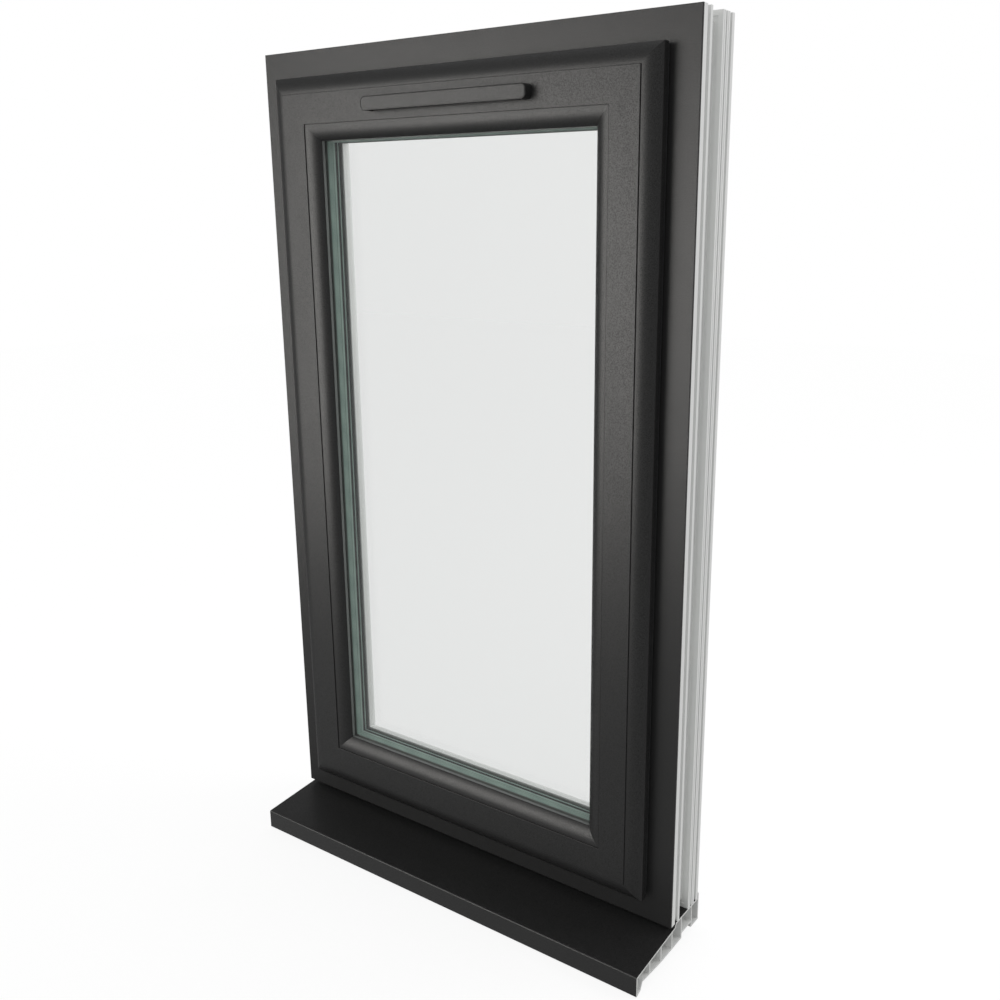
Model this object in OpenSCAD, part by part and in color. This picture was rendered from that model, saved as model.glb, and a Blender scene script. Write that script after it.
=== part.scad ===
// Side-hung casement window with its cill: plastic profiles, foil outside and white inside.
// It opens outwards on two four-bar friction stays, with the hinge side on the left seen from outside.
// Millimetres. X runs along the window, Y from outside to inside, Z up.
// The outer frame's front face lies at Y = 0, and the cill beds on Z = 0.
// Profiles are drawn as [depth Y, margin U], where U is measured inwards from the frame's outer edge.

/* [Outer frame] */
// width over the outer frame
frame_width = 600; // [540:1:900]
// height over the outer frame
frame_height = 1000; // [800:1:1500]
// depth of the outer frame from outside to inside
frame_depth = 70; // [66:0.5:80]
// height of the frame below its sash rebate
rebate_height = 40; // [37:0.5:46]
// height of the inner stop leg above the rebate
leg_height = 18.5; // [17.5:0.5:24]
// thickness of the inner stop leg
leg_depth = 20; // [16:0.5:22]
// rounding of the foiled front edge
front_radius = 2.5; // [1:0.1:4]
// first edge groove, distance behind the front face
front_groove_start = 10; // [7:0.5:12]
// width of the first edge groove
front_groove_width = 5.6; // [3:0.1:7]
// clip channel, distance behind the front face
channel_start = 20; // [19:0.5:23]
// width of the clip channel
channel_width = 22; // [16:0.5:24]
// depth of the clip channel
channel_depth = 10; // [6:0.5:14]
// rib along the inner edge
back_rib = 7; // [4:0.1:8]
// width of the wide rear groove
rear_groove_width = 5; // [3:0.1:6]
// rib between the rear grooves
middle_rib = 7.2; // [4:0.1:8]
// width of the narrow rear groove
narrow_groove_width = 2; // [1:0.1:3]
// depth of the small edge grooves
groove_depth = 4; // [2:0.5:6]
// radius of the wall fixing holes in the jambs
fixing_radius = 5; // [4:0.1:6]
// distance between the two fixings of a jamb
fixing_spacing = 600; // [560:5:640]

/* [Cill] */
// height of the cill from its bed to the frame's seat
cill_height = 31; // [27:0.5:40]
// reach of the cill nose in front of the frame
cill_reach = 80; // [70:1:110]
// drop of the nose below the bed
nose_drop = 8.4; // [4:0.1:14]
// thickness of the nose at its root
nose_thickness = 14; // [11:0.5:18]
// height of the cill top at the nose
nose_top = 17.4; // [15:0.1:20]
// rise of the sloped top from the nose to the frame
top_rise = 8.2; // [6:0.1:9]
// rise of the underside towards the nose
under_rise = 3.5; // [1:0.1:5]
// start of the ramp that leads up to the seat
ramp_start = 10.5; // [9:0.5:12]
// length of the ramp
ramp_length = 3.1; // [2:0.1:6]
// place of the web under the frame's front edge
front_web = 4; // [2:0.5:6]
// wall of the cill
cill_wall = 2.2; // [1.8:0.1:3]
// spacing of the webs in front of the frame
web_pitch = 27; // [24:0.5:30]
// start of the raised recess under the cill
recess_start = 28.8; // [26:0.2:34]
// height of the raised recess
recess_height = 7; // [4:0.5:10]
// width of the rear foot
foot_width = 19.5; // [14:0.5:22]
// height of the upstand behind the frame
upstand_height = 6; // [3:0.5:10]

/* [Sash] */
// overlap of the sash flange on the frame
sash_overlap = 8; // [6:0.5:10]
// how far the sash face stands proud of the frame
sash_proud = 23.5; // [21:0.5:28]
// width of the outer ovolo
outer_ovolo = 20; // [16:0.5:21]
// width of the flat between the ovolos
face_flat = 35.4; // [33:0.2:42]
// width of the inner ovolo
inner_ovolo = 18.1; // [15:0.1:22]
// fall of each ovolo below the flat
ovolo_drop = 9.3; // [6:0.1:10]
// small step between the flat and each ovolo
quirk = 0.6; // [0.3:0.1:1]
// gap between the sash flange and the frame face
flange_gap = 4.9; // [3:0.1:6]
// gap between the sash and the inner stop leg
seal_gap = 3.5; // [2.5:0.1:5]
// gap for the stays and the lock between sash and frame
hardware_gap = 13.5; // [13:0.1:15]
// cover of the sash lip over the glass edge and its packing
lip_height = 21.5; // [20:0.5:23]
// distance from the front of the sash to the glass
glass_setback = 15.5; // [14.5:0.1:18]
// width of the faceplate groove
groove_width = 16; // [14:0.5:18]
// centre of the faceplate groove behind the frame's front face
groove_centre = 22; // [20:0.5:24]

/* [Glazing] */
// thickness of one pane
pane_thickness = 4; // [3:0.5:6]
// gap between the panes
pane_gap = 20; // [12:1:21]
// thickness of the packers under the glass
packer_thickness = 4; // [2:0.5:5]
// length of one packer
packer_length = 90; // [60:5:120]
// distance of a packer's centre from the sash corner
packer_inset = 150; // [140:5:170]
// height of the outer edge seal between the panes
edge_seal = 4; // [2:0.5:5]
// height of the spacer bar
spacer_height = 9; // [6:0.5:10]
// thickness of the glazing gaskets
gasket_thickness = 3; // [2:0.1:3.4]
// height of the glazing gaskets
gasket_height = 8; // [5:0.5:9]
// height of the glazing bead
bead_height = 20; // [18.5:0.5:21.5]
// rounding of the glazing bead
bead_round = 17; // [8:0.5:18]

/* [Friction stays] */
// thickness of the steel strips
stay_thickness = 2.5; // [2:0.1:2.8]
// half the width of the arms
arm_half_width = 6.5; // [5.5:0.1:6.8]
// radius of the round eyes at the arms' ends
eye_radius = 7.5; // [7:0.1:8]
// radius of the rivets
rivet_radius = 3; // [2.5:0.1:3.5]
// radius of the rivet heads
rivet_head_radius = 5.5; // [4.5:0.1:6]
// thickness of the rivet heads
rivet_head = 0.7; // [0.4:0.1:0.8]
// short arm's frame pivot from the rebate corner
short_pivot_x = 84; // [80:0.5:90]
// short arm's frame pivot behind the front face
short_pivot_y = 16; // [14:0.5:20]
// short arm's sash pivot from the rebate corner
sash_pivot_x = 22; // [21:0.5:24]
// short arm's sash pivot behind the front face
sash_pivot_y = 25; // [24:0.5:27]
// long arm's frame pivot from the rebate corner
long_pivot_x = 307; // [290:1:320]
// long arm's frame pivot behind the front face
long_pivot_y = 32; // [30:0.5:34]
// long arm's sash pivot from the rebate corner
tip_pivot_x = 41; // [40:0.5:46]
// long arm's sash pivot behind the front face
tip_pivot_y = 33; // [31:0.5:34]
// width of the frame track
track_width = 32; // [28:0.5:34]
// width of the plate on the sash
plate_width = 26; // [24:0.5:30]
// length of the plate on the sash
plate_length = 230; // [180:5:260]
// slack of the long arm's sash pivot
tip_slack = 1; // [0.9:0.05:1.3]

/* [Lock] */
// length of the lock faceplate
faceplate_length = 480; // [460:5:520]
// thickness of the lock faceplate
faceplate_thickness = 2.5; // [2:0.1:3]
// thickness of the sliding bar
bar_thickness = 2.5; // [2:0.1:3]
// width of the sliding bar
bar_width = 11; // [9.5:0.5:12]
// travel of the sliding bar
bar_travel = 20; // [16:0.5:22]
// distance between the two cams
cam_spacing = 340; // [300:5:380]
// radius of the cam shank
cam_radius = 3; // [2.5:0.1:3.4]
// radius of the mushroom head
cam_head_radius = 5.5; // [4.5:0.1:6]
// thickness of the mushroom head
cam_head = 3; // [2:0.1:3.5]
// thickness of the keep's plate
keep_plate = 2.5; // [2:0.1:3]
// thickness of the keep's wall
keep_wall = 4; // [3:0.1:5]
// half the length of the keep's wall
keep_half = 11; // [8:0.5:12]
// distance from the sash edge to the spindle
backset = 20; // [19:0.1:21]
// length of the gearbox
gearbox_length = 90; // [70:1:110]
// width of the gearbox
gearbox_width = 13; // [11:0.5:14]
// height of the gearbox beyond the spindle
gearbox_cap = 7.5; // [7.2:0.1:8]
// side of the square spindle
spindle_side = 7; // [6:0.1:7.4]

/* [Handle] */
// width of the handle base
base_width = 20; // [18.5:0.5:21]
// height of the handle base
base_height = 120; // [90:1:140]
// thickness of the handle base
base_thickness = 12; // [8:0.5:15]
// radius of the lever's journal in the base
journal_radius = 7; // [6.5:0.1:8]
// radius of the lever's hub
hub_radius = 9; // [8.2:0.1:9.2]
// length of the neck between base and lever
neck_length = 14; // [10:0.5:20]
// thickness of the lever
lever_thickness = 12; // [9:0.5:15]
// length of the lever from its axis
lever_length = 80; // [70:1:130]
// radius of the lever's end
lever_end_radius = 7; // [5:0.1:8]

/* [Trickle vent] */
// length of the outside canopy and the inside vent
vent_length = 230; // [200:1:280]
// height of the canopy
canopy_height = 15.5; // [14.5:0.5:20]
// depth of the canopy
canopy_depth = 11.5; // [8:0.5:14]
// shift of the canopy from mid width towards the lock side
canopy_shift = 6.5; // [0:0.5:8]
// corner rounding of the canopy
canopy_corner = 6; // [2:0.5:7]
// wall of the canopy
canopy_wall = 2; // [1.2:0.1:2.5]
// height of the slot through the top rail
slot_height = 11; // [8:0.5:12]
// solid end of the vent at either side of its slots
vent_end = 15; // [12:0.5:20]
// thickness of the inside grille
grille_thickness = 3; // [2:0.1:4]
// side rails of the inside vent
vent_rail = 2.5; // [2:0.1:3]
// thickness of the sliding shutter
shutter_thickness = 2; // [1.5:0.1:2.5]
// travel of the sliding shutter
shutter_travel = 5; // [4:0.1:6]
// length of the shutter's grip
grip_length = 14; // [10:0.5:20]
// reach of the shutter's grip
grip_reach = 5; // [3:0.5:8]

/* [Fits] */
// radial clearance of turning pins
turning_clearance = 0.05; // [0.03:0.01:0.1]
// clearance of sliding and seated pieces
sliding_clearance = 0.3; // [0.2:0.05:0.4]

/* [Hidden] */
$fn = 64;
foil = "#3b3c3e";
white = "#e8e9e7";
steel = "#b9bcbe";
rubber = "#232425";
cut = 1;

// Heights and depths that several pieces share.
frame_base = cill_height;
frame_top = frame_base + frame_height;
frame_middle = frame_base + frame_height / 2;
leg_front = frame_depth - leg_depth;
leg_top = rebate_height + leg_height;
sash_out = rebate_height - sash_overlap;
line_out = sash_out + outer_ovolo;
line_in = line_out + face_flat;
sash_in = line_in + inner_ovolo;
sash_edge = rebate_height + hardware_gap;
sash_back = leg_front - seal_gap;
glaze_floor = sash_in - lip_height;
glass_front = glass_setback - sash_proud;
glass_back = glass_front + 2 * pane_thickness + pane_gap;
lip_back = glass_front - gasket_thickness;
pane_edge = glaze_floor + packer_thickness;
bead_top_u = glaze_floor + bead_height;
bead_front = glass_back + gasket_thickness;
gasket_top = min(sash_in, bead_top_u) - 0.5;

// Lock groove: the faceplate lies on shoulders, and the bar runs in the narrow part below it.
bar_front = sash_edge + faceplate_thickness + sliding_clearance;
groove_floor = bar_front + bar_thickness + sliding_clearance;
bar_groove_width = bar_width + 2 * sliding_clearance;
spindle_u = sash_edge + backset;
gearbox_top = spindle_u + gearbox_cap;
spindle_bore = spindle_side / sqrt(2) + sliding_clearance;
keep_wall_back = groove_centre - cam_head_radius - 2 * sliding_clearance;
cam_head_low = rebate_height + keep_plate + sliding_clearance * 3;

// Stay layers, from the track on the frame up to the plate on the sash.
layer_pitch = (hardware_gap - stay_thickness) / 3;
short_layer = rebate_height + layer_pitch;
long_layer = rebate_height + 2 * layer_pitch;
plate_layer = sash_edge - stay_thickness;
rebate_corner = -frame_width / 2 + rebate_height;
short_pivot = [rebate_corner + short_pivot_x, short_pivot_y];
sash_pivot = [rebate_corner + sash_pivot_x, sash_pivot_y];
long_pivot = [rebate_corner + long_pivot_x, long_pivot_y];
tip_pivot = [rebate_corner + tip_pivot_x, tip_pivot_y];

// Trickle vent on the middle of the top rail's flat.
vent_centre = (line_out + line_in) / 2;
vent_low = leg_top + 4 * sliding_clearance;
vent_high = glaze_floor;
channel_low = vent_low + vent_rail;
channel_high = vent_high - vent_rail;
shutter_low = channel_low + sliding_clearance;
shutter_high = channel_high - sliding_clearance;
grille_low = shutter_low + vent_rail;
grille_high = vent_centre + slot_height / 2;
shutter_front = sash_back + grille_thickness + sliding_clearance;
rail_height = grille_thickness + shutter_thickness + 2 * sliding_clearance;
slot_pitch = 2 * shutter_travel;
slot_width = shutter_travel - 2 * sliding_clearance;
slot_count = floor((vent_length - 2 * vent_end) / slot_pitch);
channel_length = vent_length - vent_end;
shutter_length = channel_length - shutter_travel - 2 * sliding_clearance;

// Placement: each member is drawn as the bottom one and turned to its side of the frame.
module at_bottom() {
  translate([0, 0, frame_base]) children();
}

module at_head() {
  translate([0, 0, frame_top]) mirror([0, 0, 1]) children();
}

module at_hinge_side() {
  translate([-frame_width / 2, 0, frame_middle]) rotate([0, 90, 0]) children();
}

module at_lock_side() {
  translate([frame_width / 2, 0, frame_middle]) rotate([0, -90, 0]) children();
}

// Bar of the given profile along X, with both ends mitred at 45 degrees.
module mitred_bar(span, u_from, u_to) {
  reach_from = span / 2 - u_from + cut;
  reach_to = span / 2 - u_to - cut;
  intersection() {
    rotate([90, 0, 90]) translate([0, 0, -span / 2]) linear_extrude(span) children();
    rotate([90, 0, 0]) translate([0, 0, -span]) linear_extrude(2 * span)
      polygon([
        [-reach_from, u_from - cut],
        [reach_from, u_from - cut],
        [reach_to, u_to + cut],
        [-reach_to, u_to + cut]
      ]);
  }
}

// Outline in the XZ plane, extruded from one depth to another.
module upright(y_from, y_to) {
  translate([0, y_to, 0]) rotate([90, 0, 0]) linear_extrude(y_to - y_from) children();
}

// Rectangular ring between two margins, as a gasket or a spacer bar runs.
module ring(u_from, u_to, y_from, y_to) {
  translate([0, 0, frame_base + frame_height / 2]) upright(y_from, y_to) difference() {
    square([frame_width - 2 * u_from, frame_height - 2 * u_from], center = true);
    square([frame_width - 2 * u_to, frame_height - 2 * u_to], center = true);
  }
}

// Flat rectangle that fills everything inside a margin.
module sheet(u_from, y_from, y_to) {
  translate([0, 0, frame_base + frame_height / 2]) upright(y_from, y_to)
    square([frame_width - 2 * u_from, frame_height - 2 * u_from], center = true);
}

// Rounded rectangle about the origin.
module rounded_rectangle(size, radius) {
  square([size[0] - 2 * radius, size[1]], center = true);
  square([size[0], size[1] - 2 * radius], center = true);
  for (x = [-1, 1], y = [-1, 1])
    translate([x * (size[0] / 2 - radius), y * (size[1] / 2 - radius)]) circle(radius);
}

// Cill: an open-ended chambered extrusion whose nose drips clear of the wall.
function cill_top(y) = lookup(y, [
  [-cill_reach, nose_top],
  [ramp_start, nose_top + top_rise],
  [ramp_start + ramp_length, cill_height],
  [frame_depth, cill_height]
]);

nose_back = nose_thickness - cill_reach;
cill_back = frame_depth + sliding_clearance + cill_wall;
foot_front = cill_back - foot_width;
first_web = nose_back + nose_thickness + cill_wall;
flat_end = first_web + web_pitch;

function cill_under(y) = lookup(y, [
  [nose_back, under_rise],
  [flat_end, 0],
  [recess_start, 0]
]);

module cill_outline() {
  polygon([
    [-cill_reach, nose_top],
    [ramp_start, nose_top + top_rise],
    [ramp_start + ramp_length, cill_height],
    [frame_depth + sliding_clearance, cill_height],
    [frame_depth + sliding_clearance, cill_height + upstand_height],
    [cill_back, cill_height + upstand_height],
    [cill_back, 0],
    [foot_front, 0],
    [foot_front, recess_height],
    [recess_start, recess_height],
    [recess_start, 0],
    [flat_end, 0],
    [nose_back, under_rise],
    [nose_back - nose_thickness / 3, 1.5 * cill_wall - nose_drop],
    [1 - cill_reach, -nose_drop],
    [-cill_reach, 1 - nose_drop]
  ]);
}

// Chamber between two webs, under the top wall and over the bottom one.
module cill_chamber(y_from, y_to) {
  polygon([
    [y_from, cill_under(y_from) + cill_wall],
    [y_to, cill_under(y_to) + cill_wall],
    [y_to, cill_top(y_to) - cill_wall],
    [y_from, cill_top(y_from) - cill_wall]
  ]);
}

module cill_profile() {
  half_web = cill_wall / 2;
  seat_under = cill_height - cill_wall;
  difference() {
    cill_outline();
    polygon([
      [cill_wall - cill_reach, cill_top(cill_wall - cill_reach) - cill_wall],
      [first_web - half_web, cill_top(first_web) - cill_wall],
      [first_web - half_web, cill_under(first_web) + cill_wall],
      [nose_back, under_rise + cill_wall],
      [nose_back - cill_wall, under_rise],
      [nose_back - nose_thickness / 3 - cill_wall, 2.5 * cill_wall - nose_drop],
      [cill_wall - cill_reach, 2 * cill_wall - nose_drop]
    ]);
    cill_chamber(first_web + half_web, flat_end - half_web);
    cill_chamber(flat_end + half_web, front_web - half_web);
    polygon([
      [front_web + half_web, cill_wall],
      [recess_start - cill_wall, cill_wall],
      [recess_start - cill_wall, seat_under],
      [ramp_start + ramp_length + half_web, seat_under],
      [ramp_start + half_web, cill_top(ramp_start) - cill_wall],
      [front_web + half_web, cill_top(front_web + half_web) - cill_wall]
    ]);
    translate([recess_start, recess_height + cill_wall])
      square([foot_front - recess_start, seat_under - recess_height - cill_wall]);
    translate([foot_front + cill_wall, cill_wall])
      square([foot_width - 2 * cill_wall, seat_under - cill_wall]);
  }
}

module cill() {
  color(foil) rotate([90, 0, 90]) translate([0, 0, -frame_width / 2]) linear_extrude(frame_width)
    cill_profile();
}

// Outer frame: four mitred lengths of one profile with a stop leg inside and ribs along its edge.
module frame_profile() {
  rear_groove = frame_depth - back_rib - rear_groove_width;
  narrow_groove = rear_groove - middle_rib - narrow_groove_width;
  difference() {
    union() {
      square([frame_depth, rebate_height]);
      translate([leg_front, 0]) square([leg_depth, leg_top]);
    }
    difference() {
      translate([-cut, -cut]) square(front_radius + cut);
      translate([front_radius, front_radius]) circle(front_radius);
    }
    translate([front_groove_start, -cut]) square([front_groove_width, groove_depth + cut]);
    translate([channel_start, -cut]) square([channel_width, channel_depth + cut]);
    translate([narrow_groove, -cut]) square([narrow_groove_width, groove_depth + cut]);
    translate([rear_groove, -cut]) square([rear_groove_width, groove_depth + cut]);
  }
}

module frame_bar(span) {
  mitred_bar(span, 0, leg_top) frame_profile();
}

module frame_jamb() {
  difference() {
    frame_bar(frame_height);
    for (side = [-1, 1])
      translate([side * fixing_spacing / 2, channel_start + channel_width / 2, -cut])
        cylinder(h = rebate_height + 2 * cut, r = fixing_radius);
  }
}

module frame_bottom() {
  color(foil) at_bottom() frame_bar(frame_width);
}

module frame_head() {
  color(foil) at_head() frame_bar(frame_width);
}

module frame_jamb_hinge() {
  color(foil) at_hinge_side() frame_jamb();
}

module frame_jamb_lock() {
  color(foil) at_lock_side() frame_jamb();
}

module frame_gasket() {
  color(rubber) ring(sash_edge + sliding_clearance, leg_top - sliding_clearance,
    sash_back + sliding_clearance, leg_front);
}

// Friction stays: flat arms on rivets, stacked in the gap between frame and sash.
module strip(p, q) {
  along = q - p;
  translate(p) circle(eye_radius);
  translate(q) circle(eye_radius);
  translate(p) rotate(atan2(along[1], along[0])) translate([0, -arm_half_width])
    square([norm(along), 2 * arm_half_width]);
}

module stay_arm(p, q, q_slack, layer) {
  translate([0, 0, layer]) linear_extrude(stay_thickness) difference() {
    strip(p, q);
    translate(p) circle(rivet_radius + turning_clearance);
    translate(q) circle(rivet_radius + q_slack);
  }
}

module short_arm() {
  stay_arm(short_pivot, sash_pivot, turning_clearance, short_layer);
}

module long_arm() {
  stay_arm(long_pivot, tip_pivot, tip_slack, long_layer);
}

// Rivet that stands on the track and carries an arm.
module track_rivet(pivot, layer) {
  top = layer + stay_thickness + turning_clearance;
  collar_top = layer - turning_clearance;
  translate([pivot[0], pivot[1], rebate_height]) {
    cylinder(h = top + rivet_head - rebate_height, r = rivet_radius);
    cylinder(h = collar_top - rebate_height, r = rivet_head_radius);
  }
  translate([pivot[0], pivot[1], top]) cylinder(h = rivet_head, r = rivet_head_radius);
}

module stay_track() {
  track_end = long_pivot[0] + track_width / 2;
  track_start = rebate_corner + sliding_clearance;
  track_centre = (short_pivot_y + long_pivot_y) / 2;
  translate([track_start, track_centre - track_width / 2, rebate_height])
    cube([track_end - track_start, track_width, stay_thickness]);
  track_rivet(short_pivot, short_layer);
  track_rivet(long_pivot, long_layer);
}

// Rivet that hangs from the sash plate through an arm.
module plate_rivet(pivot, layer) {
  low = layer - turning_clearance;
  collar_low = layer + stay_thickness + turning_clearance;
  head_low = low - rivet_head;
  translate([pivot[0], pivot[1], head_low]) {
    cylinder(h = plate_layer - head_low + cut, r = rivet_radius);
    cylinder(h = rivet_head, r = rivet_head_radius);
  }
  translate([pivot[0], pivot[1], collar_low])
    cylinder(h = plate_layer - collar_low + cut, r = rivet_head_radius);
}

module stay_plate() {
  plate_start = sash_pivot[0] - rivet_head_radius - cut;
  plate_centre = (sash_pivot_y + tip_pivot_y) / 2;
  translate([plate_start, plate_centre - plate_width / 2, plate_layer])
    cube([plate_length, plate_width, stay_thickness]);
  plate_rivet(sash_pivot, short_layer);
  plate_rivet(tip_pivot, long_layer);
}

module stay_track_bottom() {
  color(steel) at_bottom() stay_track();
}

module stay_track_top() {
  color(steel) at_head() stay_track();
}

module short_arm_bottom() {
  color(steel) at_bottom() short_arm();
}

module short_arm_top() {
  color(steel) at_head() short_arm();
}

module long_arm_bottom() {
  color(steel) at_bottom() long_arm();
}

module long_arm_top() {
  color(steel) at_head() long_arm();
}

module stay_plate_bottom() {
  color(steel) at_bottom() stay_plate();
}

module stay_plate_top() {
  color(steel) at_head() stay_plate();
}

// Sash: four mitred lengths of a lipped profile with an ovolo on both sides of its flat.
function arc_radius(width) = (width * width + ovolo_drop * ovolo_drop) / (2 * ovolo_drop);

module ovolo(u_line, u_from, width, back) {
  radius = arc_radius(width);
  front = quirk - sash_proud;
  intersection() {
    translate([front + radius, u_line]) circle(radius, $fn = 128);
    translate([front, u_from]) square([back - front, width]);
  }
}

module sash_profile() {
  difference() {
    union() {
      ovolo(line_out, sash_out, outer_ovolo, -flange_gap);
      translate([-sash_proud, line_out]) square([sash_proud - flange_gap, sash_edge + cut - line_out]);
      translate([-sash_proud, line_out]) square([sash_proud + lip_back, face_flat]);
      ovolo(line_in, line_in, inner_ovolo, lip_back);
      translate([lip_back - cut, sash_edge]) square([sash_back - lip_back + cut, glaze_floor - sash_edge]);
    }
    translate([groove_centre - groove_width / 2, sash_edge - cut])
      square([groove_width, faceplate_thickness + cut]);
    translate([groove_centre - bar_groove_width / 2, sash_edge])
      square([bar_groove_width, groove_floor - sash_edge]);
  }
}

module sash_bar(span) {
  mitred_bar(span, sash_out, sash_in) sash_profile();
}

module sash_bottom_rail() {
  color(foil) at_bottom() sash_bar(frame_width);
}

module sash_top_rail() {
  slot_length = slot_count * slot_pitch;
  color(foil) at_head() difference() {
    sash_bar(frame_width);
    translate([-slot_length / 2, -sash_proud - cut, vent_centre - slot_height / 2])
      cube([slot_length, sash_proud + sash_back + 2 * cut, slot_height]);
  }
}

module sash_stile_hinge() {
  color(foil) at_hinge_side() sash_bar(frame_height);
}

module sash_stile_lock() {
  pocket = gearbox_length + 2 * sliding_clearance;
  pocket_width = gearbox_width + 2 * sliding_clearance;
  color(foil) at_lock_side() difference() {
    sash_bar(frame_height);
    translate([-pocket / 2, groove_centre - pocket_width / 2, groove_floor - cut])
      cube([pocket, pocket_width, gearbox_top - groove_floor + cut]);
    translate([0, groove_centre, spindle_u]) rotate([-90, 0, 0])
      cylinder(h = sash_back - groove_centre + cut, r = spindle_bore);
  }
}

module sash_gasket() {
  color(rubber) ring(sash_out + sliding_clearance * 4, rebate_height - sliding_clearance * 4,
    -flange_gap, -sliding_clearance);
}

// Sealed double-glazed unit on packers, between an outer gasket and the beads.
module outer_pane() {
  color("#a9c4bb") sheet(pane_edge, glass_front, glass_front + pane_thickness);
}

module inner_pane() {
  color("#a9c4bb") sheet(pane_edge, glass_back - pane_thickness, glass_back);
}

module glass_edge_seal() {
  color(rubber) ring(pane_edge, pane_edge + edge_seal, glass_front + pane_thickness, glass_back - pane_thickness);
}

module spacer_bar() {
  color(steel) ring(pane_edge + edge_seal, pane_edge + edge_seal + spacer_height,
    glass_front + pane_thickness, glass_back - pane_thickness);
}

module outer_glazing_gasket() {
  color(rubber) ring(gasket_top - gasket_height, gasket_top, lip_back, glass_front);
}

module inner_glazing_gasket() {
  color(rubber) ring(gasket_top - gasket_height, gasket_top, glass_back, bead_front);
}

module packer_pair(span) {
  for (side = [-1, 1])
    translate([side * (span / 2 - packer_inset) - packer_length / 2, glass_front, glaze_floor])
      cube([packer_length, glass_back - glass_front, packer_thickness]);
}

module glazing_packers() {
  color(rubber) {
    at_bottom() packer_pair(frame_width);
    at_head() packer_pair(frame_width);
    at_hinge_side() packer_pair(frame_height);
    at_lock_side() packer_pair(frame_height);
  }
}

module bead_profile() {
  round_centre = [sash_back - bead_round, bead_top_u - bead_round];
  difference() {
    translate([bead_front, glaze_floor]) square([sash_back - bead_front, bead_height]);
    difference() {
      translate(round_centre) square(bead_round + cut);
      translate(round_centre) circle(bead_round, $fn = 96);
    }
  }
}

module bead(span) {
  mitred_bar(span, glaze_floor, bead_top_u) bead_profile();
}

module bead_bottom() {
  color(white) at_bottom() bead(frame_width);
}

module bead_top() {
  color(white) at_head() bead(frame_width);
}

module bead_hinge() {
  color(white) at_hinge_side() bead(frame_height);
}

module bead_lock() {
  color(white) at_lock_side() bead(frame_height);
}

// Lock: a bar with two mushroom cams slides behind its faceplate, driven by the handle's gearbox.
module cam_slot(radius) {
  square([bar_travel, 2 * radius], center = true);
  for (end = [-1, 1])
    translate([end * bar_travel / 2, 0]) circle(radius);
}

module lock_faceplate() {
  plate = groove_width - 2 * sliding_clearance;
  color(steel) at_lock_side() translate([0, 0, sash_edge]) linear_extrude(faceplate_thickness) difference() {
    translate([0, groove_centre]) square([faceplate_length, plate], center = true);
    for (side = [-1, 1])
      translate([side * cam_spacing / 2 - bar_travel / 2, groove_centre])
        cam_slot(cam_radius + sliding_clearance);
  }
}

module lock_gearbox() {
  color(steel) at_lock_side() difference() {
    translate([-gearbox_length / 2, groove_centre - gearbox_width / 2, groove_floor])
      cube([gearbox_length, gearbox_width, gearbox_top - groove_floor - sliding_clearance]);
    translate([0, groove_centre - gearbox_width, spindle_u]) rotate([-90, 0, 0])
      cylinder(h = 2 * gearbox_width, r = spindle_bore);
  }
}

module lock_bar() {
  bar_length = cam_spacing + 4 * cam_head_radius;
  color(steel) at_lock_side() translate([-bar_travel, groove_centre, 0]) {
    translate([-bar_length / 2, -bar_width / 2, bar_front]) cube([bar_length, bar_width, bar_thickness]);
    for (side = [-1, 1])
      translate([side * cam_spacing / 2, 0, cam_head_low]) {
        cylinder(h = bar_front - cam_head_low + cut, r = cam_radius);
        cylinder(h = cam_head, r = cam_head_radius);
      }
  }
}

// Keep on the frame: its wall stands in front of the cam once the bar has slid up.
module lock_keep(cam_x) {
  plate_length = 2 * (bar_travel + cam_head_radius);
  plate_front = keep_wall_back - keep_wall;
  wall_top = sash_edge - 4 * sliding_clearance;
  color(steel) at_lock_side() translate([cam_x, 0, rebate_height]) {
    translate([-plate_length / 2, plate_front, 0])
      cube([plate_length, 2 * (groove_centre - plate_front), keep_plate]);
    translate([-keep_half, plate_front, 0]) cube([2 * keep_half, keep_wall, wall_top - rebate_height]);
  }
}

module lock_keep_lower() {
  lock_keep(-cam_spacing / 2);
}

module lock_keep_upper() {
  lock_keep(cam_spacing / 2);
}

// Handle on the lock stile: at rest its lever lies level, which is the unlocked position.
base_front = sash_back;
base_back = sash_back + base_thickness;
lever_front = base_back + neck_length;
lever_back = lever_front + lever_thickness;

module handle_base() {
  color(white) at_lock_side() difference() {
    translate([0, 0, spindle_u]) upright(base_front, base_back)
      rounded_rectangle([base_height, base_width], base_width / 2 - sliding_clearance);
    translate([0, base_front - cut, spindle_u]) rotate([-90, 0, 0])
      cylinder(h = base_thickness + 2 * cut, r = journal_radius + turning_clearance);
  }
}

module handle_lever() {
  spindle_front = groove_centre - gearbox_width / 2 + cut;
  color(white) at_lock_side() translate([0, 0, spindle_u]) {
    translate([0, base_front + sliding_clearance, 0]) rotate([-90, 0, 0])
      cylinder(h = lever_back - base_front - sliding_clearance, r = journal_radius);
    translate([0, base_back + turning_clearance, 0]) rotate([-90, 0, 0])
      cylinder(h = lever_back - base_back - turning_clearance, r = hub_radius);
    translate([-spindle_side / 2, spindle_front, -spindle_side / 2])
      cube([spindle_side, base_back - spindle_front, spindle_side]);
    upright(lever_front, lever_back) {
      polygon([
        [-hub_radius, 0],
        [hub_radius, 0],
        [lever_end_radius, lever_length - lever_end_radius],
        [-lever_end_radius, lever_length - lever_end_radius]
      ]);
      translate([0, lever_length - lever_end_radius]) circle(lever_end_radius);
    }
  }
}

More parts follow.
